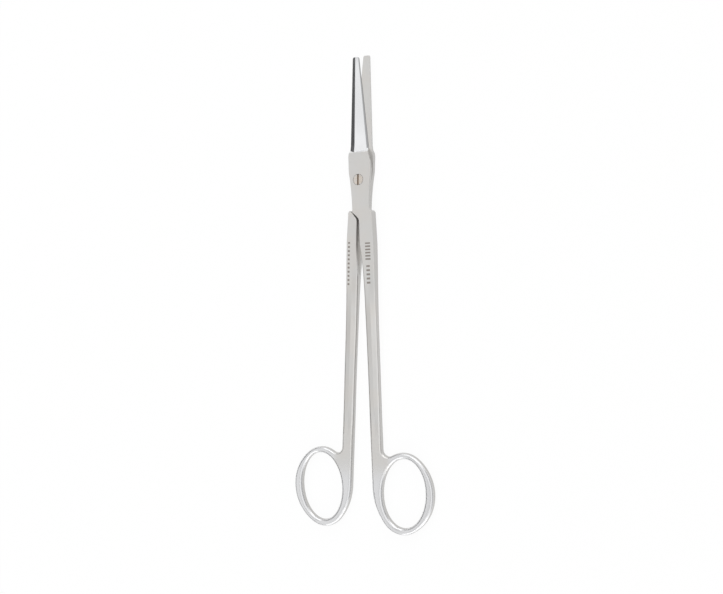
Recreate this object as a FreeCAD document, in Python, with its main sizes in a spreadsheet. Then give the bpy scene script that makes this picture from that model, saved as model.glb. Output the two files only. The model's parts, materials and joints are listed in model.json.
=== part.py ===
import FreeCAD, Part
import Sketcher
import math
import os
import re
from FreeCAD import Placement, Rotation, Vector

# Long, fine surgical scissors with blunt square tips. Two forgings of one pattern, the second
# turned over, are lapped in a box and held by a slotted screw.
#
# Each half is drawn as its forging lies with the blades closed: x across, from the centre line
# of the scissors towards this half's own ring; y along, from the screw towards the tip; z up,
# with the lap face at about z = 0 and the box of this half above it.

SIZES = {
    # the pair
    "line_off": 0.85,
    "open_half": 1.6,
    "lap_gap": 0.06,
    "side_gap": 0.15,
    "fork_gap": 0.12,
    # box
    "box_high": 2.3,
    "box_wide": 5.45,
    "box_waist": 4.2,
    "waist_start": 3.8,
    "box_top": 12.4,
    "box_ramp": 1.9,
    "box_flare": 3.5,
    "box_corner": 6.3,
    "box_foot": 13.4,
    "neck_foot": 14.8,
    "neck_side": 0.95,
    "neck_drop": 3.2,
    "neck_round": 3.0,
    "neck_end": 30.0,
    "fork_y": 42.0,
    "recess_run": 6.0,
    # shank
    "step_drop": 1.8,
    "root_wide": 5.45,
    "shank_out_a": 5.95,
    "shank_out_b": 6.65,
    "shank_end": 118.0,
    "shank_in_b": 1.3,
    "shank_in_y": 134.0,
    "slim_deep": 0.5,
    "slim_a": 58.0,
    "slim_b": 78.0,
    "slim_c": 100.0,
    "roof_high": 0.35,
    "shank_soft": 1.1,
    # ring
    "ring_high": 1.75,
    "ring_soft": 1.2,
    "ring_x": 16.9,
    "ring_y": 143.2,
    "ring_lean": 4.6,
    "loop_half_wide": 10.5,
    "loop_half_long": 15.7,
    "limb_top": 2.7,
    "limb_foot": 3.1,
    "limb_far": 4.1,
    "limb_near": 5.1,
    "ring_end_round": 11.0,
    "ring_near_round": 27.0,
    "web_round": 3.0,
    "loop_soft": 1.3,
    "rim_flat": 0.05,
    # blade
    "tip_upper": 56.5,
    "tip_lower": 56.9,
    "root_y": 16.0,
    "spine_tip": 2.6,
    "spine_root": 4.7,
    "spine_box": 5.2,
    "edge_tip": 0.5,
    "edge_root": 3.9,
    "edge_box": 4.15,
    "land_tip": 1.6,
    "land_root": 2.4,
    "crest_tip": 1.15,
    "crest_root": 1.9,
    "crest_box": 2.15,
    "back_tip": 0.6,
    "back_root": 0.9,
    "edge_thin": 0.12,
    "bevel_tip": 0.4,
    "bevel_root": 0.8,
    "bevel_rise": 0.8,
    "tip_corner": 0.6,
    # screw
    "head_r": 2.4,
    "head_high": 1.2,
    "head_dome": 0.12,
    "neck_r": 1.6,
    "thread_r": 1.3,
    "turn_gap": 0.05,
    "seat_gap": 0.03,
    "end_short": 0.05,
    "slot_wide": 0.9,
    "slot_deep": 0.6,
}

doc = FreeCAD.newDocument("facelift_scissors")

# Sheet of driving sizes
sheet = doc.addObject("Spreadsheet::Sheet", "Sizes")
for row, (name, number) in enumerate(SIZES.items(), start=1):
    sheet.set("A%d" % row, name)
    sheet.set("B%d" % row, str(number))
    sheet.setAlias("B%d" % row, name)
doc.recompute()
NAME_PATTERN = re.compile(r"\b(%s)\b" % "|".join(sorted(SIZES, key=len, reverse=True)))


def val(expression):
    """Number that an expression over the sheet's names gives."""
    return float(sheet.evalExpression(str(expression)))


def bound(expression):
    """The expression with every size name pointing at the sheet."""
    return NAME_PATTERN.sub(r"Sizes.\1", str(expression))


def plane_of(body, role):
    """One of the body's own origin planes."""
    for feature in body.Origin.OriginFeatures:
        if feature.Role == role:
            return feature
    raise RuntimeError("no plane " + role)


class Drawing:
    """A sketch on one of the body's planes, its points and radii bound to the sheet."""

    def __init__(self, body, name, role="XY_Plane", lift=None):
        self.sketch = body.newObject("Sketcher::SketchObject", name)
        self.sketch.AttachmentSupport = [(plane_of(body, role), "")]
        self.sketch.MapMode = "FlatFace"
        if lift is not None:
            self.sketch.AttachmentOffset = Placement(Vector(0, 0, val(lift)), Rotation())
            self.sketch.setExpression("AttachmentOffset.Base.z", bound(lift))

    def line(self, p, q):
        start = Vector(val(p[0]), val(p[1]), 0)
        end = Vector(val(q[0]), val(q[1]), 0)
        return self.sketch.addGeometry(Part.LineSegment(start, end), False)

    def arc(self, p, middle, q):
        a, b, c = [Vector(val(pt[0]), val(pt[1]), 0) for pt in (p, middle, q)]
        return self.sketch.addGeometry(Part.Arc(a, b, c), False)

    def circle(self, x, y, radius):
        round_line = Part.Circle(Vector(val(x), val(y), 0), Vector(0, 0, 1), val(radius))
        geo = self.sketch.addGeometry(round_line, False)
        self.fix(geo, 3, (x, y))
        self.size("Radius", (geo,), radius)
        return geo

    def size(self, kind, picks, expression):
        index = self.sketch.addConstraint(Sketcher.Constraint(kind, *picks, val(expression)))
        self.sketch.setExpression("Constraints[%d]" % index, bound(expression))
        return index

    def angle(self, geo, expression):
        number = math.radians(val(expression))
        index = self.sketch.addConstraint(Sketcher.Constraint("Angle", geo, number))
        self.sketch.setExpression("Constraints[%d]" % index, "(" + bound(expression) + ") * 1 deg")
        return index

    def fix(self, geo, end, point):
        self.size("DistanceX", (-1, 1, geo, end), point[0])
        self.size("DistanceY", (-1, 1, geo, end), point[1])

    def meet(self, first, end, second, start, smooth=False):
        kind = "Tangent" if smooth else "Coincident"
        self.sketch.addConstraint(Sketcher.Constraint(kind, first, end, second, start))

    def polygon(self, points):
        """Closed outline of straight lines through fixed points."""
        count = len(points)
        geos = [self.line(points[i], points[(i + 1) % count]) for i in range(count)]
        for i in range(count):
            self.meet(geos[i - 1], 2, geos[i], 1)
            self.fix(geos[i], 1, points[i])
        return geos


def add(body, kind, name, drawing):
    feature = body.newObject(kind, name)
    feature.Profile = drawing.sketch
    drawing.sketch.Visibility = False
    return feature


def pick_edges(shape, wanted):
    """Names of the edges for which wanted(edge, middle point) holds."""
    names = []
    for number, edge in enumerate(shape.Edges, start=1):
        middle = edge.valueAt((edge.FirstParameter + edge.LastParameter) / 2.0)
        if wanted(edge, middle):
            names.append("Edge%d" % number)
    return names


def soften(body, name, base, names, radius):
    """Rounds the named edges of the feature."""
    rounding = body.newObject("PartDesign::Fillet", name)
    rounding.Base = (base, names)
    rounding.Radius = val(radius)
    rounding.setExpression("Radius", bound(radius))
    doc.recompute()
    return rounding


# Shared expressions
RING_U = "(limb_far - limb_near) / 2"
END_HIGH = "(loop_half_long + limb_top - ring_end_round)"
END_LOW = "(loop_half_long + limb_foot - ring_end_round)"
# Reach of the ring's far side and the radius that closes it
FAR_REACH = "(loop_half_wide + limb_far - (%s))" % RING_U
FAR_ROUND = ("(%s^2 + ((%s + %s) / 2)^2 - ring_end_round^2) / (2 * (%s - ring_end_round))"
             % (FAR_REACH, END_HIGH, END_LOW, FAR_REACH))
# Width of the ring's limb at its thinnest place, a little beside its head, and the roundest rim
# that this limb leaves room for
THIN_LIMB = ("(ring_end_round - sqrt((sin(20deg) * loop_half_wide - %s)^2"
             " + (cos(20deg) * loop_half_long - %s)^2))" % (RING_U, END_HIGH))
RIM_ROUND = "min(loop_soft; %s - ring_soft - rim_flat; limb_top - ring_soft - rim_flat)" % THIN_LIMB
# Inner and outer line of the shank at a distance below the screw
INNER = "(fork_gap + (shank_in_b - fork_gap) * ((%s) - fork_y) / (shank_in_y - fork_y))"
OUTER = "(shank_out_a + (shank_out_b - shank_out_a) * ((%s) - neck_end) / (shank_end - neck_end))"


def on_ring(u, v):
    """A point given in the leaned frame of the ring, as x and y expressions."""
    x = "ring_x + (%s) * cos(ring_lean * 1deg) + (%s) * sin(ring_lean * 1deg)" % (u, v)
    y = "-ring_y - (%s) * sin(ring_lean * 1deg) + (%s) * cos(ring_lean * 1deg)" % (u, v)
    return x, y


def joined(drawing, chain, smooth):
    """Closes a chain of lines and arcs, each joint at the ends that really lie there."""
    s = drawing.sketch
    for i, geo in enumerate(chain):
        following = chain[(i + 1) % len(chain)]
        best = None
        for end in (1, 2):
            for start in (1, 2):
                gap = (s.getPoint(geo, end) - s.getPoint(following, start)).Length
                if best is None or gap < best[0]:
                    best = (gap, end, start)
        drawing.meet(geo, best[1], following, best[2], (geo, following) in smooth)


def fix_at(drawing, geo, point):
    """Fixes the end of a line or arc that lies at the point."""
    s = drawing.sketch
    target = Vector(val(point[0]), val(point[1]), 0)
    near_start = (s.getPoint(geo, 1) - target).Length < (s.getPoint(geo, 2) - target).Length
    drawing.fix(geo, 1 if near_start else 2, point)


def draw_box(body):
    """Outline of the box and the neck below it."""
    d = Drawing(body, "box_outline")
    top = "box_top + box_ramp"
    p_top_back = ("-(spine_box - 0.35)", top)
    p_top_edge = ("edge_box - 0.15", top)
    p_corner_edge = ("box_wide", "box_top + box_ramp - box_corner")
    p_waist_edge = ("box_wide", "waist_start")
    p_foot_edge = ("box_waist", "-box_foot")
    p_step = ("root_wide", "-(box_foot + step_drop)")
    p_root = ("shank_out_a", "-neck_end")
    p_neck = ("-neck_side", "-neck_end")
    p_neck_foot = ("-box_waist", "-neck_foot")
    p_foot_back = ("-box_waist", "-box_foot")
    p_waist_back = ("-box_wide", "waist_start")
    p_flare_back = ("-box_wide", "box_top + box_ramp - box_flare")

    # First guesses of the tangent points, which the constraints then settle
    slope = math.atan2(val("neck_drop"), val("box_waist - neck_side"))
    r_neck = val("neck_round")
    half = (math.pi / 2 - slope) / 2
    cut = r_neck * math.tan(half)
    corner = -val("neck_foot + neck_drop")
    n_up = (-val("neck_side") - cut * math.cos(slope), corner + cut * math.sin(slope))
    n_low = (-val("neck_side"), corner - cut)
    n_mid = (n_low[0] - r_neck + r_neck * math.cos(half), n_low[1] + r_neck * math.sin(half))
    waist_mid = val("waist_start - box_foot") / 2.0
    hollow = val("box_waist + (box_wide - box_waist) / 4")

    g_top = d.line(p_top_back, p_top_edge)
    g_corner = d.line(p_top_edge, p_corner_edge)
    g_side = d.line(p_corner_edge, p_waist_edge)
    g_waist = d.arc(p_waist_edge, (hollow, waist_mid), p_foot_edge)
    g_step = d.line(p_foot_edge, p_step)
    g_root = d.line(p_step, p_root)
    g_end = d.line(p_root, p_neck)
    g_neck = d.line(p_neck, n_low)
    g_bend = d.arc(n_low, n_mid, n_up)
    g_slant = d.line(n_up, p_neck_foot)
    g_foot = d.line(p_neck_foot, p_foot_back)
    g_waist_b = d.arc(p_foot_back, (-hollow, waist_mid), p_waist_back)
    g_side_b = d.line(p_waist_back, p_flare_back)
    g_flare = d.line(p_flare_back, p_top_back)
    chain = [g_top, g_corner, g_side, g_waist, g_step, g_root, g_end, g_neck, g_bend, g_slant,
             g_foot, g_waist_b, g_side_b, g_flare]
    joined(d, chain, {(g_neck, g_bend), (g_bend, g_slant)})
    for geo, point in ((g_top, p_top_back), (g_corner, p_top_edge), (g_side, p_corner_edge),
                       (g_side, p_waist_edge), (g_step, p_foot_edge), (g_root, p_step),
                       (g_end, p_root), (g_neck, p_neck), (g_slant, p_neck_foot),
                       (g_foot, p_foot_back), (g_side_b, p_waist_back), (g_flare, p_flare_back)):
        fix_at(d, geo, point)
    for waist in (g_waist, g_waist_b):
        d.size("DistanceY", (-1, 1, waist, 3), "-box_foot")
    d.size("Radius", (g_bend,), "neck_round")
    d.sketch.addConstraint(Sketcher.Constraint("Vertical", g_neck))
    d.angle(g_slant, "180 - atan(neck_drop / (box_waist - neck_side)) / 1deg")
    return d


def draw_ring(body):
    """Outer outline of the ring, the web and the last of the shank, all in one sweep."""
    d = Drawing(body, "ring_outline")
    p_out = ("shank_out_b", "-shank_end")
    p_in = (INNER % "shank_end", "-shank_end")

    # First guesses of the tangent points, which the constraints then settle
    head = on_ring(RING_U, END_HIGH)
    foot = on_ring(RING_U, "-" + END_LOW)
    hx, hy, fx, fy = [val(e) for e in head + foot]
    r_end, r_web, r_near = [val(e) for e in ("ring_end_round", "web_round", "ring_near_round")]
    web_x = val("shank_out_b") + 0.05 + r_web
    web_y = hy + math.sqrt((r_end + r_web) ** 2 - (web_x - hx) ** 2)
    t_out = (web_x - r_web, web_y)
    k = r_end / (r_end + r_web)
    t_web = (hx + (web_x - hx) * k, hy + (web_y - hy) * k)
    m_web = (web_x - r_web * math.cos(0.5), web_y - r_web * math.sin(0.5))
    lean = math.radians(val("ring_lean"))
    wide = val("loop_half_wide + limb_far")
    mid_v = (val(END_HIGH) - val(END_LOW)) / 2.0
    r_far = val(FAR_ROUND)
    far_x = val("ring_x") + (wide - r_far) * math.cos(lean) + mid_v * math.sin(lean)
    far_y = -val("ring_y") - (wide - r_far) * math.sin(lean) + mid_v * math.cos(lean)

    def away(ax, ay, bx, by):
        size = math.hypot(bx - ax, by - ay)
        return bx + (bx - ax) / size * r_end, by + (by - ay) / size * r_end

    t_top = away(far_x, far_y, hx, hy)
    t_low = away(far_x, far_y, fx, fy)
    far_mid = (far_x + r_far * math.cos(lean), far_y - r_far * math.sin(lean))
    near_x = val("shank_in_b") + r_near + 0.1
    near_y = fy + math.sqrt(max((r_near - r_end) ** 2 - (near_x - fx) ** 2, 1.0))
    t_near = away(near_x, near_y, fx, fy)
    t_in = (near_x - r_near, near_y)
    turn = (math.atan2(t_near[1] - near_y, t_near[0] - near_x) % (2 * math.pi) + math.pi) / 2.0
    near_mid = (near_x + r_near * math.cos(turn), near_y + r_near * math.sin(turn))
    top_mid = (hx + r_end * math.cos(1.5), hy + r_end * math.sin(1.5))
    low_mid = (fx - r_end * math.cos(1.3), fy - r_end * math.sin(1.3))

    g_out = d.line(p_out, t_out)
    g_web = d.arc(t_out, m_web, t_web)
    g_head = d.arc(t_web, top_mid, t_top)
    g_far = d.arc(t_top, far_mid, t_low)
    g_foot = d.arc(t_low, low_mid, t_near)
    g_near = d.arc(t_near, near_mid, t_in)
    g_in = d.line(t_in, p_in)
    g_end = d.line(p_in, p_out)
    joined(d, [g_out, g_web, g_head, g_far, g_foot, g_near, g_in, g_end],
           {(g_out, g_web), (g_web, g_head), (g_head, g_far), (g_far, g_foot), (g_foot, g_near),
            (g_near, g_in)})
    fix_at(d, g_end, p_out)
    fix_at(d, g_end, p_in)
    d.fix(g_head, 3, head)
    d.fix(g_foot, 3, foot)
    d.size("Radius", (g_head,), "ring_end_round")
    d.size("Radius", (g_foot,), "ring_end_round")
    d.size("Radius", (g_near,), "ring_near_round")
    d.size("Radius", (g_web,), "web_round")
    d.size("Radius", (g_far,), FAR_ROUND)
    d.angle(g_out, "-90 + atan((shank_out_b - shank_out_a) / (shank_end - neck_end)) / 1deg")
    d.angle(g_in, "90 + atan((shank_in_b - fork_gap) / (shank_in_y - fork_y)) / 1deg")
    return d


def draw_shank_section(body, name, y, inner, outer, high, roof, soft):
    """Cross-section of the shank: upright sides, soft corners, a low roof above and below."""
    d = Drawing(body, name, "XZ_Plane", y)
    ridge_x = "((%s) + (%s)) / 2" % (inner, outer)
    out_x = "(%s) - (%s)" % (outer, soft)
    in_x = "(%s) + (%s)" % (inner, soft)
    eave = "(%s) - (%s)" % (high, roof)
    drop = "(%s) - (%s)" % (eave, soft)
    k = 1 - math.cos(math.pi / 4)
    n = val(soft) * k
    xo, xi, ze = val(outer), val(inner), val(eave)
    g = [
        d.line((ridge_x, high), (out_x, eave)),
        d.arc((out_x, eave), (xo - n, ze - n), (outer, drop)),
        d.line((outer, drop), (outer, "-(%s)" % drop)),
        d.arc((outer, "-(%s)" % drop), (xo - n, n - ze), (out_x, "-(%s)" % eave)),
        d.line((out_x, "-(%s)" % eave), (ridge_x, "-(%s)" % high)),
        d.line((ridge_x, "-(%s)" % high), (in_x, "-(%s)" % eave)),
        d.arc((in_x, "-(%s)" % eave), (xi + n, n - ze), (inner, "-(%s)" % drop)),
        d.line((inner, "-(%s)" % drop), (inner, drop)),
        d.arc((inner, drop), (xi + n, ze - n), (in_x, eave)),
        d.line((in_x, eave), (ridge_x, high)),
    ]
    joined(d, g, set())
    fix_at(d, g[0], (ridge_x, high))
    fix_at(d, g[5], (ridge_x, "-(%s)" % high))
    fix_at(d, g[0], (out_x, eave))
    fix_at(d, g[2], (outer, drop))
    fix_at(d, g[2], (outer, "-(%s)" % drop))
    fix_at(d, g[4], (out_x, "-(%s)" % eave))
    fix_at(d, g[5], (in_x, "-(%s)" % eave))
    fix_at(d, g[7], (inner, "-(%s)" % drop))
    fix_at(d, g[7], (inner, drop))
    fix_at(d, g[9], (in_x, eave))
    for number in (1, 3, 6, 8):
        d.size("Radius", (g[number],), soft)
    return d


def draw_loop(body):
    """The oval finger opening."""
    d = Drawing(body, "loop_oval")
    s = d.sketch
    centre = on_ring("0", "0")
    far = on_ring("0", "loop_half_long")
    side = on_ring("loop_half_wide", "0")
    c, a, b = [Vector(val(p[0]), val(p[1]), 0) for p in (centre, far, side)]
    oval = s.addGeometry(Part.Ellipse(a, b, c), False)
    s.exposeInternalGeometry(oval)
    d.fix(oval, 3, centre)
    # The exposed construction lines are the long and the short diameter
    d.size("Distance", (oval + 1,), "2 * loop_half_long")
    d.size("Distance", (oval + 2,), "2 * loop_half_wide")
    direction = s.getPoint(oval + 1, 2) - s.getPoint(oval + 1, 1)
    up = direction.y > 0
    d.angle(oval + 1, "90 - ring_lean" if up else "-90 - ring_lean")
    return d


def draw_recess(body):
    """Plan of the lap recess: everything below the lap face up to the shoulder."""
    d = Drawing(body, "recess_plan", "XY_Plane", "lap_gap / 2")
    s = d.sketch
    out = "(box_wide + 4)"
    rise = "(neck_drop / (box_waist - neck_side))"
    inner = "neck_side + side_gap"
    y_out = ("-(neck_foot + neck_drop) + %s * (%s - neck_side) - side_gap * sqrt(1 + %s^2)"
             % (rise, out, rise))
    p_out = (out, y_out)
    p_neck = (inner, "-neck_end")
    p_run = ("-fork_gap", "-(fork_y + recess_run)")
    p_left = ("-" + out, "-(fork_y + recess_run)")
    p_left_top = ("-" + out, "box_top + 20")
    p_right_top = (out, "box_top + 20")
    slope = math.atan(val(rise))
    r = val("neck_round - side_gap")
    corner_y = val(y_out) - math.tan(slope) * (val(out) - val(inner))
    cut = r * math.tan((math.pi / 2 - slope) / 2)
    up = (val(inner) + cut * math.cos(slope), corner_y + cut * math.sin(slope))
    low = (val(inner), corner_y - cut)
    c = (low[0] + r, low[1])
    half = (math.pi / 2 - slope) / 2
    mid = (c[0] - r * math.cos(half), c[1] + r * math.sin(half))
    g1 = d.line(p_out, up)
    g2 = d.arc(up, mid, low)
    g3 = d.line(low, p_neck)
    g4 = d.line(p_neck, p_run)
    g5 = d.line(p_run, p_left)
    g6 = d.line(p_left, p_left_top)
    g7 = d.line(p_left_top, p_right_top)
    g8 = d.line(p_right_top, p_out)
    ends = (1, 2) if (s.getPoint(g2, 1) - s.getPoint(g1, 2)).Length < 0.01 else (2, 1)
    d.meet(g1, 2, g2, ends[0], True)
    d.meet(g2, ends[1], g3, 1, True)
    for first, second in ((g3, g4), (g4, g5), (g5, g6), (g6, g7), (g7, g8), (g8, g1)):
        d.meet(first, 2, second, 1)
    for geo, point in ((g1, p_out), (g4, p_neck), (g5, p_run), (g6, p_left),
                       (g7, p_left_top), (g8, p_right_top)):
        d.fix(geo, 1, point)
    s.addConstraint(Sketcher.Constraint("Vertical", g3))
    d.size("Radius", (g2,), "neck_round - side_gap")
    d.angle(g1, "180 + atan(%s) / 1deg" % rise)
    return d


def draw_section(body, name, y, spine, edge, land, crest, back, bevel):
    """Cross-section of the blade at y: flat inside, ground outside to a crest and a cutting bevel."""
    d = Drawing(body, name, "XZ_Plane", "-(%s)" % y)
    d.polygon([
        ("-(%s)" % spine, "lap_gap / 2"),
        (edge, "lap_gap / 2"),
        (edge, "edge_thin"),
        ("%s - %s" % (edge, bevel), "edge_thin + bevel_rise * (%s)" % bevel),
        ("-(%s) + %s" % (spine, land), crest),
        ("-(%s)" % spine, back),
    ])
    return d


def draw_tip_corners(body, tip):
    """What is ground away outside the two rounded corners of the tip, in plan."""
    d = Drawing(body, "tip_corners", "XY_Plane", "-box_high")
    beyond = "(%s + 2)" % tip
    k = math.sqrt(0.5)
    for side, reach in ((-1, "spine_tip"), (1, "edge_tip")):
        x = "(%d) * (%s)" % (side, reach)
        away = "(%s) + (%d) * 2" % (x, side)
        in_x = "(%s) - (%d) * tip_corner" % (x, side)
        low = "%s - tip_corner" % tip
        r = val("tip_corner")
        middle = (val(in_x) + side * r * k, val(low) + r * k)
        g = [
            d.line((in_x, beyond), (in_x, tip)),
            d.arc((in_x, tip), middle, (x, low)),
            d.line((x, low), (away, low)),
            d.line((away, low), (away, beyond)),
            d.line((away, beyond), (in_x, beyond)),
        ]
        joined(d, g, set())
        fix_at(d, g[0], (in_x, beyond))
        fix_at(d, g[0], (in_x, tip))
        fix_at(d, g[2], (x, low))
        fix_at(d, g[2], (away, low))
        fix_at(d, g[3], (away, beyond))
        d.size("Radius", (g[1],), "tip_corner")
    return d


# Stations of the shank: distance below the screw, inner line, outer line, half thickness, rise of
# the roof, softness of the corners
SHANK = [
    ("neck_end", "-neck_side", "shank_out_a", "box_high", "0", "0.1 * shank_soft"),
    ("fork_y", "fork_gap", OUTER % "fork_y", "box_high - 0.15 * slim_deep", "0.3 * roof_high",
     "0.4 * shank_soft"),
    ("slim_a", INNER % "slim_a", OUTER % "slim_a", "box_high - 0.65 * slim_deep", "roof_high",
     "0.7 * shank_soft"),
    ("slim_b", INNER % "slim_b", OUTER % "slim_b", "box_high - slim_deep", "roof_high",
     "0.8 * shank_soft"),
    ("slim_c", INNER % "slim_c", OUTER % "slim_c", "(box_high - slim_deep) / 2 + ring_high / 2",
     "0.8 * roof_high", "0.9 * shank_soft"),
    ("shank_end", INNER % "shank_end", "shank_out_b", "ring_high", "0", "ring_soft"),
]


def make_half(label, tip, screw_x, bores):
    body = doc.addObject("PartDesign::Body", label)
    body.Label = label

    # Box and neck, at full thickness as forged
    box = add(body, "PartDesign::Pad", "box_block", draw_box(body))
    box.Midplane = True
    box.Length = val("2 * box_high")
    box.setExpression("Length", bound("2 * box_high"))
    doc.recompute()

    # Ring and the foot of the shank
    ring = add(body, "PartDesign::Pad", "ring_block", draw_ring(body))
    ring.Midplane = True
    ring.Length = val("2 * ring_high")
    ring.setExpression("Length", bound("2 * ring_high"))
    doc.recompute()

    def round_outside(edge, middle):
        limits = edge.BoundBox
        level = limits.ZLength < 0.01
        return level and limits.YLength > 0.01 and limits.YMax < -val("shank_end") + 0.01

    soften(body, "ring_softening", ring, pick_edges(ring.Shape, round_outside), "ring_soft")

    # Finger opening with soft rims
    loop = add(body, "PartDesign::Pocket", "loop", draw_loop(body))
    loop.Type = "Length"
    loop.Midplane = True
    loop.Length = val("2 * box_high + 2")
    loop.setExpression("Length", bound("2 * box_high + 2"))
    doc.recompute()

    def round_rim(edge, middle):
        limits = edge.BoundBox
        on_face = limits.ZLength < 0.01 and abs(middle.z) > 1
        beside = limits.XMin > val("ring_x - loop_half_wide") - 1
        below = limits.YMax < -val("ring_y - loop_half_long") + 1
        above = limits.YMin > -val("ring_y + loop_half_long") - 1
        return on_face and beside and below and above

    last = soften(body, "soft_loop", loop, pick_edges(loop.Shape, round_rim), RIM_ROUND)

    # Shank, slimmer in its middle, roofed above and below, between the neck and the ring
    stations = []
    for number, station in enumerate(SHANK, start=1):
        stations.append(draw_shank_section(body, "shank_%d" % number, *station))
    shank = add(body, "PartDesign::AdditiveLoft", "shank", stations[0])
    shank.Sections = [station.sketch for station in stations[1:]]
    for drawing in stations:
        drawing.sketch.Visibility = False
    doc.recompute()
    last = shank

    # Ramp from the face of the box down to the blade
    def ramp_edge(edge, middle):
        across = edge.BoundBox.YLength < 0.01
        return across and middle.z > 1 and abs(middle.y - val("box_top + box_ramp")) < 0.01

    ramp = body.newObject("PartDesign::Chamfer", "ramp")
    ramp.Base = (last, pick_edges(last.Shape, ramp_edge))
    ramp.Size = val("box_ramp")
    ramp.setExpression("Size", bound("box_ramp"))
    doc.recompute()

    # Lap recess
    recess = add(body, "PartDesign::Pocket", "lap_recess", draw_recess(body))
    recess.Type = "ThroughAll"
    doc.recompute()

    # Ground blade
    inside = draw_section(body, "blade_at_box", "box_top - 1", "spine_box", "edge_box",
                          "land_root", "crest_box", "back_root + 0.3", "bevel_root")
    root = draw_section(body, "blade_at_root", "root_y", "spine_root", "edge_root",
                        "land_root", "crest_root", "back_root", "bevel_root")
    end = draw_section(body, "blade_at_tip", tip, "spine_tip", "edge_tip",
                       "land_tip", "crest_tip", "back_tip", "bevel_tip")
    blade = add(body, "PartDesign::AdditiveLoft", "blade", inside)
    blade.Sections = [root.sketch, end.sketch]
    blade.Ruled = True
    for drawing in (root, end):
        drawing.sketch.Visibility = False
    doc.recompute()

    # Way through for the screw
    last = blade
    for name, radius, lift in bores:
        plan = Drawing(body, name + "_plan", "XY_Plane", lift)
        plan.circle(screw_x, "0", radius)
        bore = add(body, "PartDesign::Pocket", name, plan)
        bore.Type = "ThroughAll"
        bore.Reversed = True
        doc.recompute()
        last = bore

    # Blunt tip, its corners rounded in plan
    rounding = add(body, "PartDesign::Pocket", "tip_rounding", draw_tip_corners(body, tip))
    rounding.Type = "ThroughAll"
    rounding.Reversed = True
    doc.recompute()
    return body


def make_screw():
    """Slotted pivot screw: low domed head, plain neck for the upper half, threaded end."""
    body = doc.addObject("PartDesign::Body", "pivot_screw")
    body.Label = "pivot_screw"
    d = Drawing(body, "screw_profile", "XZ_Plane")
    under = "box_high - head_high"
    points = [
        ("0", "-(box_high - end_short)"),
        ("thread_r", "-(box_high - end_short)"),
        ("thread_r", "-lap_gap / 2"),
        ("neck_r", "-lap_gap / 2"),
        ("neck_r", under),
        ("head_r", under),
        ("head_r", "box_high"),
        ("0", "box_high + head_dome"),
    ]
    lines = [d.line(points[i], points[i + 1]) for i in range(6)]
    rise = val("head_dome")
    dome = d.arc(points[6], (val("head_r") * 0.5, val("box_high") + rise * 0.75), points[7])
    axis = d.line(points[7], points[0])
    joined(d, lines + [dome, axis], set())
    for geo, point in zip(lines, points):
        fix_at(d, geo, point)
    fix_at(d, lines[5], points[6])
    fix_at(d, axis, points[7])
    d.size("Radius", (dome,), "(head_r^2 + head_dome^2) / (2 * head_dome)")
    turned = add(body, "PartDesign::Revolution", "turned", d)
    turned.ReferenceAxis = (d.sketch, ["V_Axis"])
    turned.Angle = 360.0
    doc.recompute()

    # Screwdriver slot
    plan = Drawing(body, "slot_plan", "XY_Plane", "box_high + head_dome + 0.1")
    plan.polygon([
        ("-slot_wide / 2", "-(head_r + 1)"),
        ("slot_wide / 2", "-(head_r + 1)"),
        ("slot_wide / 2", "head_r + 1"),
        ("-slot_wide / 2", "head_r + 1"),
    ])
    slot = add(body, "PartDesign::Pocket", "slot", plan)
    slot.Type = "Length"
    slot.Length = val("slot_deep + head_dome + 0.1")
    slot.setExpression("Length", bound("slot_deep + head_dome + 0.1"))
    doc.recompute()
    return body


upper = make_half("upper_half", "tip_upper", "-line_off", [
    ("neck_bore", "neck_r + turn_gap", "-box_high"),
    ("head_seat", "head_r + turn_gap", "box_high - head_high - seat_gap"),
])
lower = make_half("lower_half", "tip_lower", "line_off", [
    ("thread_bore", "thread_r", "-box_high"),
])
screw = make_screw()

# Rest pose: the upper half lies as drawn, the lower half is turned over, and both are opened
# about the screw by the same angle
closed_upper = Placement(Vector(val("line_off"), 0, 0), Rotation())
closed_lower = Placement(Vector(val("line_off"), 0, 0), Rotation(Vector(0, 1, 0), 180))
swing = val("open_half")
upper.Placement = Placement(Vector(), Rotation(Vector(0, 0, 1), swing)) * closed_upper
lower.Placement = Placement(Vector(), Rotation(Vector(0, 0, 1), -swing)) * closed_lower
doc.recompute()

# Origin: middle of the footprint, on the surface that the scissors lie on
lows = []
highs = []
for body in (upper, lower):
    box = body.Shape.optimalBoundingBox(False)
    lows.append((box.XMin, box.YMin))
    highs.append((box.XMax, box.YMax))
middle_x = (min(p[0] for p in lows) + max(p[0] for p in highs)) / 2.0
middle_y = (min(p[1] for p in lows) + max(p[1] for p in highs)) / 2.0
shift = Placement(Vector(-middle_x, -middle_y, val("box_high")), Rotation())
for body in (upper, lower, screw):
    body.Placement = shift * body.Placement
doc.recompute()
print("screw axis at x %.4f y %.4f" % (-middle_x, -middle_y))

# Checks before anything is written
pieces = [upper, lower, screw]
for obj in doc.Objects:
    if "Invalid" in obj.State or "Error" in obj.State:
        raise RuntimeError("%s: %s" % (obj.Name, obj.State))
for body in pieces:
    shape = body.Shape
    if shape.isNull() or not shape.isValid() or len(shape.Solids) != 1 or shape.Volume <= 0:
        raise RuntimeError("bad shape: " + body.Label)
    print("%-12s volume %8.1f mm3  solids %d" % (body.Label, shape.Volume, len(shape.Solids)))

os.makedirs("parts", exist_ok=True)
for body in pieces:
    body.Shape.exportStep("parts/%s.step" % body.Label)
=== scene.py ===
# %% [markdown]
# # Long fine scissors, lying open a crack on a pale table
#
# The real ones are two steel forgings of one pattern. The second is turned over, both are lapped
# in a flat box, and one slotted screw holds them. Their shapes come from the imported model, so this
# lesson is about the finish: where the steel is satin and where it is polished, what shade is
# painted into the joint, and what light makes bare metal look like metal.

# %% Start with the imported model
import json
import math

import bpy
from mathutils import Matrix, Vector


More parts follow.
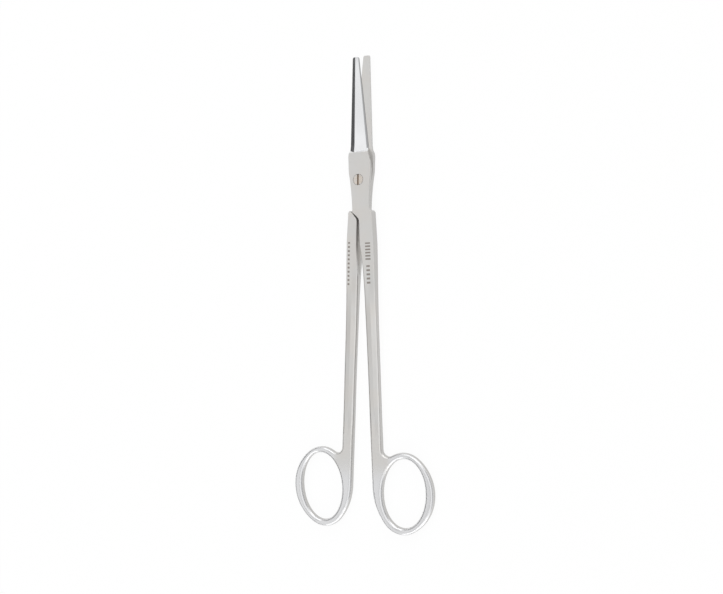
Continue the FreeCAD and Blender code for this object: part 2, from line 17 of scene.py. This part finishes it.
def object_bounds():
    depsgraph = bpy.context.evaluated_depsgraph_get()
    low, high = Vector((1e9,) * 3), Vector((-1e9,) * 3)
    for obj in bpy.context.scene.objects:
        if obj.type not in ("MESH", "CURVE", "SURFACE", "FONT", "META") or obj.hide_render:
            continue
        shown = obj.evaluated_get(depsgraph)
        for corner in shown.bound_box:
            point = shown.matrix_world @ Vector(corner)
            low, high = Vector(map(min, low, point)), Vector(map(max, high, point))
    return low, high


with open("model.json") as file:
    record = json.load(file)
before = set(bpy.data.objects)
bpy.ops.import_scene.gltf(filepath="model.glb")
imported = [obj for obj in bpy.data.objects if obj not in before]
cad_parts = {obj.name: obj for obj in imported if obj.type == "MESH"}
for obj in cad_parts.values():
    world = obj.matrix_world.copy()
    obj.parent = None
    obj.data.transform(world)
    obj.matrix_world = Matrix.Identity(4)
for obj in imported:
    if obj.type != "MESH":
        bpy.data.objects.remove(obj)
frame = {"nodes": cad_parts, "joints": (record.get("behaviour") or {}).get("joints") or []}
cad_low, cad_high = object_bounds()
scene = bpy.context.scene
MM = 0.001
hinge = frame["joints"][0]
pivot = Vector(hinge["pos_m"])
print("box in mm", [round(value / MM, 2) for value in (*cad_low, *cad_high)])

# %% [markdown]
# ## The camera
#
# The photograph looks down on the scissors from their right, 26 degrees off upright, through a
# lens a little longer than normal. The camera's three axes are written out from that angle. They
# are then turned by one degree with the scissors, which lie slightly askew in the picture.

# %% Place the camera
LOOK_ASIDE = math.radians(26.0)
ROLL = math.radians(-1.09)
LIE_ASKEW = math.radians(1.0)
CAMERA_REACH = 421.0 * MM
FOCAL_PER_REACH = 2.17
IMAGE_WIDE = 723.0
SENSOR_WIDE = 36.0
AIM = Vector((-0.48, -53.88, 0.0)) * MM

backward = Vector((math.sin(LOOK_ASIDE), 0.0, math.cos(LOOK_ASIDE)))
level = Vector((0.0, 1.0, 0.0)).cross(backward).normalized()
upward = backward.cross(level)
right = level * math.cos(ROLL) + upward * math.sin(ROLL)
top = upward * math.cos(ROLL) - level * math.sin(ROLL)
askew = Matrix.Rotation(LIE_ASKEW, 3, "Z")
axes = Matrix((askew @ right, askew @ top, askew @ backward)).transposed()

camera_data = bpy.data.cameras.new("camera")
camera_data.sensor_fit = "HORIZONTAL"
camera_data.sensor_width = SENSOR_WIDE
camera_data.lens = FOCAL_PER_REACH * CAMERA_REACH / MM / IMAGE_WIDE * SENSOR_WIDE
camera_data.clip_start = 0.01
camera_data.clip_end = 20.0
camera = bpy.data.objects.new("camera", camera_data)
scene.collection.objects.link(camera)
place = pivot + askew @ (AIM + backward * CAMERA_REACH)
camera.matrix_world = Matrix.Translation(place) @ axes.to_4x4()
scene.camera = camera
print("camera at mm", [round(value / MM) for value in place], "lens", round(camera_data.lens, 1))

# %% [markdown]
# ## Helpers for node trees
#
# A material is a net of small nodes. `node` makes one, sets its options and fills its sockets,
# with numbers or with the outputs of other nodes. `maths` is the same for the commonest node, and
# `step` is a soft threshold. The others start a node group, place one, and start a material.

# %% Node helpers
def node(tree, kind, sockets=None, **options):
    made = tree.nodes.new(kind)
    for option, value in options.items():
        setattr(made, option, value)
    for socket, value in (sockets or {}).items():
        if isinstance(value, bpy.types.NodeSocket):
            tree.links.new(value, made.inputs[socket])
        else:
            made.inputs[socket].default_value = value
    return made


def maths(tree, operation, *values, clamp=False):
    made = node(tree, "ShaderNodeMath", dict(enumerate(values)), operation=operation)
    made.use_clamp = clamp
    return made.outputs[0]


def step(tree, value, start, end):
    """A soft step from 0 at start to 1 at end."""
    made = node(tree, "ShaderNodeMapRange",
                {"Value": value, "From Min": start, "From Max": end},
                interpolation_type="SMOOTHSTEP")
    return made.outputs["Result"]


def new_group(name, inputs, outputs):
    """An empty shader node group with named inputs and outputs."""
    group = bpy.data.node_groups.new(name, "ShaderNodeTree")
    for title, kind, default in inputs:
        socket = group.interface.new_socket(name=title, in_out="INPUT", socket_type=kind)
        socket.default_value = default
    for title, kind in outputs:
        group.interface.new_socket(name=title, in_out="OUTPUT", socket_type=kind)
    source = group.nodes.new("NodeGroupInput")
    sink = group.nodes.new("NodeGroupOutput")
    return group, source.outputs, sink.inputs


def use(tree, group, **sockets):
    """Places a group in a tree. Underscores in the names given stand for spaces."""
    made = tree.nodes.new("ShaderNodeGroup")
    made.node_tree = group
    for title, value in sockets.items():
        socket = made.inputs[title.replace("_", " ")]
        if isinstance(value, bpy.types.NodeSocket):
            tree.links.new(value, socket)
        else:
            socket.default_value = value
    return made.outputs


def empty_material(name):
    material = bpy.data.materials.new(name)
    material.use_nodes = True
    material.node_tree.nodes.clear()
    return material, material.node_tree


print("node helpers ready")

# %% [markdown]
# ## Where on the forging a point lies
#
# Both halves are the same forging, so their finish is laid out once, in the forging's own frame:
# x towards its own ring, y towards the tip, z up out of its outer face, in millimetres from the
# screw. The group takes a point of the model, moves it to the screw, swings it closed, and turns
# it over for the lower half. It reads the mesh's own coordinates, which ride with the piece.

# %% Group: place on the forging
FLOAT, VECTOR = "NodeSocketFloat", "NodeSocketVector"
LINE_OFF = 0.85                  # the screw stands this far off the centre line, in mm
OPEN_HALF = math.radians(1.6)    # each half lies open by this


def build_forging_place():
    group, given, result = new_group(
        "forging_place",
        [("Screw", VECTOR, (0.0, 0.0, 0.0)), ("Swing", FLOAT, 0.0), ("Turned Over", FLOAT, 1.0)],
        [("Place", VECTOR), ("Across", FLOAT), ("Along", FLOAT), ("Out", FLOAT)])
    where = node(group, "ShaderNodeTexCoord").outputs["Object"]
    moved = node(group, "ShaderNodeVectorMath", {0: where, 1: given["Screw"]}, operation="SUBTRACT")
    closed = node(group, "ShaderNodeVectorRotate",
                  {"Vector": moved.outputs[0], "Angle": given["Swing"]}, rotation_type="Z_AXIS")
    large = node(group, "ShaderNodeVectorMath",
                 {0: closed.outputs[0], "Scale": 1 / MM}, operation="SCALE")
    own = node(group, "ShaderNodeSeparateXYZ", {0: large.outputs[0]})
    across = maths(group, "MULTIPLY", maths(group, "SUBTRACT", own.outputs["X"], LINE_OFF),
                   given["Turned Over"])
    out = maths(group, "MULTIPLY", own.outputs["Z"], given["Turned Over"])
    whole = node(group, "ShaderNodeCombineXYZ", {0: across, 1: own.outputs["Y"], 2: out})
    for title, value in (("Place", whole.outputs[0]), ("Across", across),
                         ("Along", own.outputs["Y"]), ("Out", out)):
        group.links.new(value, result[title])
    return group


forging_place = build_forging_place()
print("group", forging_place.name, "ready")

# %% [markdown]
# ## Satin grain
#
# Satin steel comes off a fine belt or a bead blast. Under a lens it shows short hairlines along
# the piece over an even, very fine pitting. One noise, pulled long, gives the hairlines. Another,
# not pulled, gives the pitting. Their height leaves the group, as each material decides how deep
# it is, and so does a mask of the strongest hairlines, which shine a little less.

# %% Group: satin grain
HAIRLINE_CUT = (0.58, 0.74)


def build_satin_grain():
    group, given, result = new_group(
        "satin_grain",
        [("Place", VECTOR, (0.0, 0.0, 0.0)), ("Line Width", FLOAT, 0.06),
         ("Line Length", FLOAT, 1.6), ("Pitting", FLOAT, 0.35)],
        [("Height", FLOAT), ("Hairline", FLOAT)])
    fine = maths(group, "DIVIDE", 1.0, given["Line Width"])
    long = maths(group, "DIVIDE", 1.0, given["Line Length"])
    stretch = node(group, "ShaderNodeCombineXYZ", {0: fine, 1: long, 2: fine})
    pulled = node(group, "ShaderNodeVectorMath",
                  {0: given["Place"], 1: stretch.outputs[0]}, operation="MULTIPLY")
    lines = node(group, "ShaderNodeTexNoise",
                 {"Vector": pulled.outputs[0], "Scale": 1.0, "Detail": 2.0, "Roughness": 0.6})
    pits = node(group, "ShaderNodeTexNoise",
                {"Vector": given["Place"], "Scale": fine, "Detail": 1.0, "Roughness": 0.5})
    hairline = step(group, lines.outputs["Fac"], *HAIRLINE_CUT)
    mixed = node(group, "ShaderNodeMix",
                 {"Factor": given["Pitting"], "A": lines.outputs["Fac"], "B": pits.outputs["Fac"]})
    group.links.new(mixed.outputs[0], result["Height"])
    group.links.new(hairline, result["Hairline"])
    return group


satin_grain = build_satin_grain()
print("group", satin_grain.name, "ready")

# %% [markdown]
# ## Handling haze
#
# Instruments are washed, dried and picked up. That leaves wide, very faint clouds in the shine and
# a hint of warm or cool colour. The group gives two cloudy values between 0 and 1, one for the
# shine and one for the colour. They come from different places of the same kind of noise.

# %% Group: handling haze
TINT_SHIFT = (37.0, 11.0, 5.0)
HAZE_CUT = (0.35, 0.68)
TINT_CUT = (0.3, 0.7)


def build_handling_haze():
    group, given, result = new_group(
        "handling_haze",
        [("Place", VECTOR, (0.0, 0.0, 0.0)), ("Cloud Size", FLOAT, 9.0)],
        [("Haze", FLOAT), ("Tint", FLOAT)])
    scale = maths(group, "DIVIDE", 1.0, given["Cloud Size"])
    clouds = node(group, "ShaderNodeTexNoise",
                  {"Vector": given["Place"], "Scale": scale, "Detail": 3.0, "Roughness": 0.55})
    shifted = node(group, "ShaderNodeVectorMath",
                   {0: given["Place"], 1: TINT_SHIFT}, operation="ADD")
    tints = node(group, "ShaderNodeTexNoise",
                 {"Vector": shifted.outputs[0], "Scale": scale, "Detail": 1.0, "Roughness": 0.5})
    group.links.new(step(group, clouds.outputs["Fac"], *HAZE_CUT), result["Haze"])
    group.links.new(step(group, tints.outputs["Fac"], *TINT_CUT), result["Tint"])
    return group


handling_haze = build_handling_haze()
print("group", handling_haze.name, "ready")

# %% [markdown]
# ## Painted shade in the joint
#
# The slit where the neck of one half passes the shank of the other is darkened in colour as
# painted shade, and made a little rougher. A thin line of painted shade also runs round the screw's
# head.
# The group marks the slit's wall, darkest next to the box and fading down the shank, gives the lap
# face a fifth of that, and adds the line round the head. Soft steps along the forging's own
# directions do it. Each pair below says where a step is 0 and where it is 1, in millimetres.

# %% Group: joint painted shade
JOINT_LOW, JOINT_HIGH = (-38.0, -21.0), (12.0, 8.0)
LAP_LEVEL, LAP_SIDE = (0.12, 0.04), (1.4, 1.2)
WALL_SIDE, WALL_DEEP, WALL_HEAD = (-0.7, -0.9), (2.35, 1.2), (-12.9, -13.6)
FADE_NEAR, FADE_FAR = (-20.5, -18.2), (-31.0, -21.0)
HEAD_LINE, HEAD_LEVEL = (0.24, 0.06), (0.5, 0.9)
LAP_SHARE = 0.2
HEAD_SHARE = 0.55


def build_joint_painted_shade():
    group, given, result = new_group(
        "joint_painted_shade",
        [("Across", FLOAT, 0.0), ("Along", FLOAT, 0.0), ("Out", FLOAT, 0.0),
         ("Screw Across", FLOAT, 0.0), ("Head Radius", FLOAT, 2.45)],
        [("Painted Shade", FLOAT)])
    along, out = given["Along"], given["Out"]
    reach = maths(group, "MULTIPLY", step(group, along, *JOINT_LOW),
                  step(group, along, *JOINT_HIGH))
    lap = maths(group, "MULTIPLY", step(group, out, *LAP_LEVEL),
                step(group, given["Across"], *LAP_SIDE))
    deep = maths(group, "MULTIPLY", step(group, given["Across"], *WALL_SIDE),
                 step(group, maths(group, "ABSOLUTE", out), *WALL_DEEP))
    wall = maths(group, "MULTIPLY", deep, step(group, along, *WALL_HEAD))
    fading = maths(group, "ADD", step(group, along, *FADE_NEAR), step(group, along, *FADE_FAR))
    fading = maths(group, "MULTIPLY", fading, 0.5)
    slit = maths(group, "MAXIMUM", maths(group, "MULTIPLY", lap, LAP_SHARE),
                 maths(group, "MULTIPLY", wall, fading))
    slit = maths(group, "MULTIPLY", slit, reach)
    side = maths(group, "SUBTRACT", given["Across"], given["Screw Across"])
    radius = maths(group, "SQRT", maths(group, "ADD", maths(group, "POWER", side, 2.0),
                                        maths(group, "POWER", along, 2.0)))
    beyond = maths(group, "ABSOLUTE", maths(group, "SUBTRACT", radius, given["Head Radius"]))
    line = maths(group, "MULTIPLY", step(group, beyond, *HEAD_LINE),
                 step(group, out, *HEAD_LEVEL))
    line = maths(group, "MULTIPLY", line, HEAD_SHARE)
    group.links.new(maths(group, "MAXIMUM", slit, line), result["Painted Shade"])
    return group


joint_painted_shade = build_joint_painted_shade()
print("group", joint_painted_shade.name, "ready")

# %% [markdown]
# ## Etched ticks
#
# Such scissors carry small dark etched marks on their shanks, below the box. Here they are plain
# rows of short dashes, all alike, that say nothing. A row is a strip across the shank, cut into
# dashes by the position along it.

# %% Group: etched ticks
STRIP_SOFT = 0.12
DASH_SOFT = 0.08


def build_etched_ticks():
    group, given, result = new_group(
        "etched_ticks",
        [("Across", FLOAT, 0.0), ("Along", FLOAT, 0.0), ("Left", FLOAT, 0.0), ("Right", FLOAT, 1.0),
         ("First", FLOAT, 0.0), ("Last", FLOAT, 1.0), ("Pitch", FLOAT, 1.8), ("Share", FLOAT, 0.5)],
        [("Mark", FLOAT)])

    def from_to(first, second):
        return maths(group, "SUBTRACT", given[second], given[first])

    inside = maths(group, "MULTIPLY", step(group, from_to("Left", "Across"), 0.0, STRIP_SOFT),
                   step(group, from_to("Across", "Right"), 0.0, STRIP_SOFT))
    run = maths(group, "MULTIPLY", step(group, from_to("Last", "Along"), 0.0, STRIP_SOFT),
                step(group, from_to("Along", "First"), 0.0, STRIP_SOFT))
    turns = maths(group, "DIVIDE", from_to("Along", "First"), given["Pitch"])
    phase = maths(group, "FRACT", turns)
    dash = step(group, maths(group, "SUBTRACT", given["Share"], phase), 0.0, DASH_SOFT)
    whole = maths(group, "MULTIPLY", maths(group, "MULTIPLY", inside, run), dash)
    group.links.new(whole, result["Mark"])
    return group


etched_ticks = build_etched_ticks()
print("group", etched_ticks.name, "ready")

# %% [markdown]
# ## The steel of the two halves
#
# One recipe serves both. The base is bare stainless steel, a slightly warm grey. The outside of
# the blades and the finger rings are polished, and the rest is satin, so the roughness runs over
# from one to the other along the forging. The sides, and the rounds of the rings, are painted
# darker than the top faces as painted shade, chosen by the way a face points. Then come the painted
# shade in the joint, the ticks and the haze. A Bevel node rounds the normals of the sharp edges a
# little, because a real edge always catches light, and those of the rings more.

# %% Colours and finishes of the steel
STEEL = (0.780, 0.758, 0.730, 1.0)
COOL_STEEL = (0.772, 0.764, 0.748, 1.0)
POLISHED_STEEL = (0.80, 0.805, 0.815, 1.0)
RING_STEEL = (0.838, 0.84, 0.85, 1.0)
# painted shade: the colour that faces pointing sideways are darkened to
SIDE_PAINTED_SHADE = (0.52, 0.51, 0.495, 1.0)
# painted shade: the dark colour of the joint's slit and of the line round the screw's head
JOINT_SHADE_DARK = (0.125, 0.115, 0.10, 1.0)
ETCHED = (0.22, 0.18, 0.15, 1.0)
SATIN_ROUGH = 0.30
POLISHED_ROUGH = 0.13
RING_ROUGH = 0.17
ROUGHER_BY = {"haze": 0.035, "hairline": 0.05, "dull": 0.22}
SATIN_DEPTH = 0.30
POLISHED_DEPTH = 0.05
GRAIN_HIGH = 0.00002
EDGE_ROUND = 0.00022
RING_ROUND = 0.0009
print("steel", STEEL[:3], "at the sides", SIDE_PAINTED_SHADE[:3])

# %% Where each finish lies
BLADE_ALONG, BLADE_OUT = (12.2, 13.2), (0.06, 0.14)
RING_BESIDE, RING_BELOW, RING_WHOLE = (8.5, 12.0), (-119.0, -124.0), (-128.0, -140.0)
SIDE_TURN = (0.75, 0.15)
TOP_FACE = (1.3, 1.5)
HEAD_RADIUS = 2.45
CLOUD_SIZE = 9.0
JOINT_SHADE_COVER = 0.92
ETCH_COVER = 0.72
SATIN = dict(Line_Width=0.07, Line_Length=1.8, Pitting=0.35)
print("polish from", BLADE_ALONG[1], "mm up, and from", RING_WHOLE[1], "mm down")


# %% Steel recipe
def blend_colour(tree, amount, first, second):
    made = node(tree, "ShaderNodeMix", {"Factor": amount}, data_type="RGBA")
    for socket, value in ((made.inputs[6], first), (made.inputs[7], second)):
        if isinstance(value, bpy.types.NodeSocket):
            tree.links.new(value, socket)
        else:
            socket.default_value = value
    return made.outputs[2]


def blend_value(tree, amount, first, second):
    return node(tree, "ShaderNodeMix", {"Factor": amount, "A": first, "B": second}).outputs[0]


def make_half_steel(name, swing, over, tick_rows):
    material, tree = empty_material(name)
    spot = use(tree, forging_place, Screw=pivot, Swing=swing, Turned_Over=over)
    place, across, along, out = [spot[title] for title in ("Place", "Across", "Along", "Out")]

    blade = maths(tree, "MULTIPLY", step(tree, along, *BLADE_ALONG), step(tree, out, *BLADE_OUT))
    ring_side = maths(tree, "MULTIPLY", step(tree, across, *RING_BESIDE),
                      step(tree, along, *RING_BELOW))
    ring = maths(tree, "MAXIMUM", ring_side, step(tree, along, *RING_WHOLE))
    polish = maths(tree, "MAXIMUM", blade, ring)

    grain = use(tree, satin_grain, Place=place, **SATIN)
    haze = use(tree, handling_haze, Place=place, Cloud_Size=CLOUD_SIZE)
    joint_shade = use(tree, joint_painted_shade, Across=across, Along=along, Out=out,
                  Screw_Across=-LINE_OFF * over, Head_Radius=HEAD_RADIUS)["Painted Shade"]

    body = blend_colour(tree, haze["Tint"], STEEL, COOL_STEEL)
    body = blend_colour(tree, blade, body, POLISHED_STEEL)
    body = blend_colour(tree, ring, body, RING_STEEL)

    softness = blend_value(tree, ring, EDGE_ROUND, RING_ROUND)
    rounded = node(tree, "ShaderNodeBevel", {"Radius": softness}, samples=6)
    facing = node(tree, "ShaderNodeSeparateXYZ", {0: rounded.outputs[0]})
    # painted shade: faces that point sideways, and the rounds of the rings, turn darker in colour
    side = step(tree, maths(tree, "ABSOLUTE", facing.outputs["Z"]), *SIDE_TURN)
    body = blend_colour(tree, side, body, SIDE_PAINTED_SHADE)
    # painted shade: the slit of the joint and a thin line round the screw's head are darkened in
    # colour
    body = blend_colour(tree, maths(tree, "MULTIPLY", joint_shade, JOINT_SHADE_COVER), body, JOINT_SHADE_DARK)

    top_face = step(tree, maths(tree, "MULTIPLY", out, over), *TOP_FACE)
    marks = None
    for row in tick_rows:
        mark = use(tree, etched_ticks, Across=across, Along=along, **row)["Mark"]
        marks = mark if marks is None else maths(tree, "MAXIMUM", marks, mark)
    marks = maths(tree, "MULTIPLY", marks, top_face)
    body = blend_colour(tree, maths(tree, "MULTIPLY", marks, ETCH_COVER), body, ETCHED)

    bright = blend_value(tree, ring, POLISHED_ROUGH, RING_ROUGH)
    rough = blend_value(tree, polish, SATIN_ROUGH, bright)
    dull = maths(tree, "MAXIMUM", joint_shade, marks)
    for cause, amount in (("haze", haze["Haze"]), ("hairline", grain["Hairline"]), ("dull", dull)):
        more = maths(tree, "MULTIPLY", amount, ROUGHER_BY[cause])
        rough = maths(tree, "ADD", rough, more)

    depth = blend_value(tree, polish, SATIN_DEPTH, POLISHED_DEPTH)
    bump = node(tree, "ShaderNodeBump",
                {"Strength": depth, "Distance": GRAIN_HIGH, "Height": grain["Height"],
                 "Normal": rounded.outputs[0]})
    shader = node(tree, "ShaderNodeBsdfPrincipled",
                  {"Base Color": body, "Metallic": 1.0, "Roughness": rough,
                   "Normal": bump.outputs[0]})
    node(tree, "ShaderNodeOutputMaterial", {"Surface": shader.outputs[0]})
    return material


# %% Two steels, each with its rows of ticks
UPPER_TICKS = [dict(Left=1.7, Right=4.4, First=-29.0, Last=-37.6, Pitch=1.45, Share=0.55),
               dict(Left=2.0, Right=3.9, First=-39.4, Last=-48.0, Pitch=1.9, Share=0.5)]
LOWER_TICKS = [dict(Left=4.2, Right=5.3, First=-28.6, Last=-49.5, Pitch=1.9, Share=0.5)]
upper_steel = make_half_steel("upper_steel", -OPEN_HALF, 1.0, UPPER_TICKS)
lower_steel = make_half_steel("lower_steel", OPEN_HALF, -1.0, LOWER_TICKS)
print("steels:", upper_steel.name, lower_steel.name)

# %% [markdown]
# ## The screw
#
# The screw's head is faced on a lathe, so its lines run in circles, and it is a little warmer than
# the forgings. Rings that spread from the screw's axis give the turned face. The slot is rougher,
# and its colour is darkened as painted shade.

# %% Screw steel
SCREW_WARM = (0.80, 0.72, 0.64, 1.0)
# painted shade: the colour of the slot below the head's face
SLOT_PAINTED_SHADE = (0.42, 0.34, 0.27, 1.0)
SCREW_ROUGH = 0.26
SLOT_ROUGHER = 0.2
SLOT_LEVEL = (2.22, 2.05)
SCREW_CLOUD = 1.6
LATHE_LINES = {"Scale": 3.2, "Distortion": 0.4, "Detail": 2.0}
LATHE_DEPTH = 0.25
SCREW_ROUND = 0.00015


def make_screw_steel():
    material, tree = empty_material("screw_steel_turned")
    spot = use(tree, forging_place, Screw=pivot, Swing=0.0, Turned_Over=1.0)
    shift = node(tree, "ShaderNodeVectorMath",
                 {0: spot["Place"], 1: (LINE_OFF, 0.0, 0.0)}, operation="ADD").outputs[0]
    turned = node(tree, "ShaderNodeTexWave",
                  {"Vector": shift, **LATHE_LINES},
                  wave_type="RINGS", rings_direction="Z")
    haze = use(tree, handling_haze, Place=spot["Place"], Cloud_Size=SCREW_CLOUD)
    slot = step(tree, spot["Out"], *SLOT_LEVEL)
    body = blend_colour(tree, haze["Haze"], SCREW_WARM, STEEL)
    # painted shade: the slot, below the head's face, is darkened in colour
    body = blend_colour(tree, slot, body, SLOT_PAINTED_SHADE)
    rough = maths(tree, "ADD", SCREW_ROUGH, maths(tree, "MULTIPLY", slot, SLOT_ROUGHER))
    rounded = node(tree, "ShaderNodeBevel", {"Radius": SCREW_ROUND}, samples=4)
    bump = node(tree, "ShaderNodeBump",
                {"Strength": LATHE_DEPTH, "Distance": GRAIN_HIGH, "Height": turned.outputs["Fac"],
                 "Normal": rounded.outputs[0]})
    shader = node(tree, "ShaderNodeBsdfPrincipled",
                  {"Base Color": body, "Metallic": 1.0, "Roughness": rough,
                   "Normal": bump.outputs[0]})
    node(tree, "ShaderNodeOutputMaterial", {"Surface": shader.outputs[0]})
    return material


screw_steel = make_screw_steel()
print("steel:", screw_steel.name)

# %% [markdown]
# ## Give each piece its steel
#
# The shapes of the three pieces are right as they come, so the pieces stay, and only the material
# in their slots changes.

# %% Dress the pieces
for title, material in (("upper_half", upper_steel), ("lower_half", lower_steel),
                        ("pivot_screw", screw_steel)):
    piece = frame["nodes"][title]
    for slot in piece.material_slots:
        slot.material = material
    print(title, "wears", material.name, "on", len(piece.data.polygons), "faces")

# %% [markdown]
# ## The table
#
# The picture's ground is white paper with hardly a shadow. The floor is a pale matt sheet whose
# edges are turned up, far away, so that a low camera still has white behind the scissors. What is
# seen of it, straight or mirrored in the metal, is mostly plain white. A small share of the lit
# sheet is left in, so that a faint shadow stays.

# %% Floor
PAPER = (0.92, 0.92, 0.92, 1.0)
WHITE = (1.0, 1.0, 1.0, 1.0)
FLOOR_HALF = 6.0
FLOOR_DROP = 0.00003    # the floor lies a hair below the scissors
RIM_HIGH = 0.9
SEEN_WHITE = 0.93

floor_mesh = bpy.data.meshes.new("floor")
corners = [(x * FLOOR_HALF, y * FLOOR_HALF, z) for z in (0.0, RIM_HIGH)
           for x, y in ((-1, -1), (1, -1), (1, 1), (-1, 1))]
rim = [(side, (side + 1) % 4, (side + 1) % 4 + 4, side + 4) for side in range(4)]
floor_mesh.from_pydata(corners, [], [(0, 1, 2, 3), *rim])
floor = bpy.data.objects.new("floor", floor_mesh)
floor.location.z = cad_low.z - FLOOR_DROP
scene.collection.objects.link(floor)

paper, tree = empty_material("white_paper")
matt = node(tree, "ShaderNodeBsdfDiffuse", {"Color": PAPER})
white = node(tree, "ShaderNodeEmission", {"Color": WHITE, "Strength": 1.0})
rays = node(tree, "ShaderNodeLightPath").outputs
mirrored = maths(tree, "MAXIMUM", rays["Is Glossy Ray"], rays["Is Transmission Ray"])
seen = maths(tree, "MAXIMUM", rays["Is Camera Ray"], mirrored)
share = maths(tree, "MULTIPLY", seen, SEEN_WHITE)
sheet = node(tree, "ShaderNodeMixShader", {0: share, 1: matt.outputs[0], 2: white.outputs[0]})
node(tree, "ShaderNodeOutputMaterial", {"Surface": sheet.outputs[0]})
floor_mesh.materials.append(paper)
print("floor", 2 * FLOOR_HALF, "m wide")

# %% [markdown]
# ## The light tent
#
# Bare metal shows what stands round it. A photographer puts it in a tent of pale cloth, with long
# soft lights down both sides and dark gaps between, so that flat faces stay even and every edge
# gets a dark or a bright line. The world below is such a tent, read by direction. One ramp runs
# from the right horizon over the top to the left one, in degrees off upright, each with its
# brightness. A panel closes the tent beyond the rings and another beyond the tips. One ramp says
# where they begin and one how bright they are, by how far a direction leans that way. The panels
# stop short of the tent's left side.

# %% Tones of the tent
TENT = [(-90, 0.55), (-74, 0.40), (-62, 0.30), (-50, 0.48), (-34, 1.00), (-20, 1.02), (-8, 0.97),
        (0, 0.97), (2, 1.20), (4, 1.18), (6, 0.68), (9, 0.54), (14, 0.54), (19, 0.74), (26, 0.85),
        (44, 0.84), (56, 0.60), (62, 0.12), (74, 0.07), (81, 0.70), (90, 1.00)]
END_SHARE = [(0.0, 0.0), (0.52, 0.0), (0.64, 1.0), (1.0, 1.0)]
END_TONE = [(0.0, 1.05), (0.62, 1.05), (0.72, 1.12), (0.80, 2.00), (0.89, 2.00), (0.94, 0.60),
            (1.0, 0.42)]
PANEL_STOPS = (0.40, 0.30)


def fill_ramp(ramp, stops, low, high):
    """Writes grey stops given over low to high into a colour ramp."""
    for number, (at, bright) in enumerate(stops):
        if number < 2:
            stop = ramp.elements[number]
        else:
            stop = ramp.elements.new(1.0)
        stop.position = (at - low) / (high - low)
        stop.color = (bright, bright, bright, 1.0)


print("tent of", len(TENT), "tones")

# %% World
world = bpy.data.worlds.new("light_tent")
scene.world = world
world.use_nodes = True
tree = world.node_tree
tree.nodes.clear()
direction = node(tree, "ShaderNodeTexCoord").outputs["Generated"]
parts = node(tree, "ShaderNodeSeparateXYZ", {0: direction})
leftward = maths(tree, "MULTIPLY", parts.outputs["X"], -1.0)
angle = maths(tree, "ARCTAN2", leftward, parts.outputs["Z"])
round_over = maths(tree, "ADD", maths(tree, "DIVIDE", angle, math.pi), 0.5, clamp=True)
over = node(tree, "ShaderNodeValToRGB", {0: round_over})
fill_ramp(over.color_ramp, TENT, -90, 90)
endward = maths(tree, "ABSOLUTE", parts.outputs["Y"])
shares = node(tree, "ShaderNodeValToRGB", {0: endward})
fill_ramp(shares.color_ramp, END_SHARE, 0.0, 1.0)
not_left = step(tree, leftward, *PANEL_STOPS)
panel = maths(tree, "MULTIPLY", shares.outputs["Color"], not_left)
ends = node(tree, "ShaderNodeValToRGB", {0: endward})
fill_ramp(ends.color_ramp, END_TONE, 0.0, 1.0)
cloth = blend_colour(tree, panel, over.outputs["Color"], ends.outputs["Color"])
tent = node(tree, "ShaderNodeBackground", {"Color": cloth, "Strength": 1.0})
node(tree, "ShaderNodeOutputWorld", {"Surface": tent.outputs[0]})
print("world", world.name, "of", len(tree.nodes), "nodes")

# %% [markdown]
# ## One soft lamp
#
# The tent gives the metal its picture, and one wide lamp overhead gives the paper the rest of its
# light and the scissors a soft, faint shadow. It is left out of the reflections, because the tent
# is already there.

# %% Lamp
LAMP_WIDE, LAMP_LONG = 0.9, 1.2
LAMP_PLACE = (-0.25, 0.15, 1.3)
LAMP_WATTS = 4.0

lamp_data = bpy.data.lights.new("soft_lamp", "AREA")
lamp_data.shape = "RECTANGLE"
lamp_data.size = LAMP_WIDE
lamp_data.size_y = LAMP_LONG
lamp_data.energy = LAMP_WATTS
lamp = bpy.data.objects.new("soft_lamp", lamp_data)
lamp.location = LAMP_PLACE
lamp.rotation_mode = "QUATERNION"
lamp.rotation_quaternion = (-Vector(LAMP_PLACE)).to_track_quat("-Z", "Y")
lamp.visible_glossy = False
scene.collection.objects.link(lamp)
print("lamp", lamp_data.energy, "W")

# %% [markdown]
# ## Finish
#
# The view stays on Standard, so colours come out as written.

# %% Set the view
scene.view_settings.view_transform = "Standard"
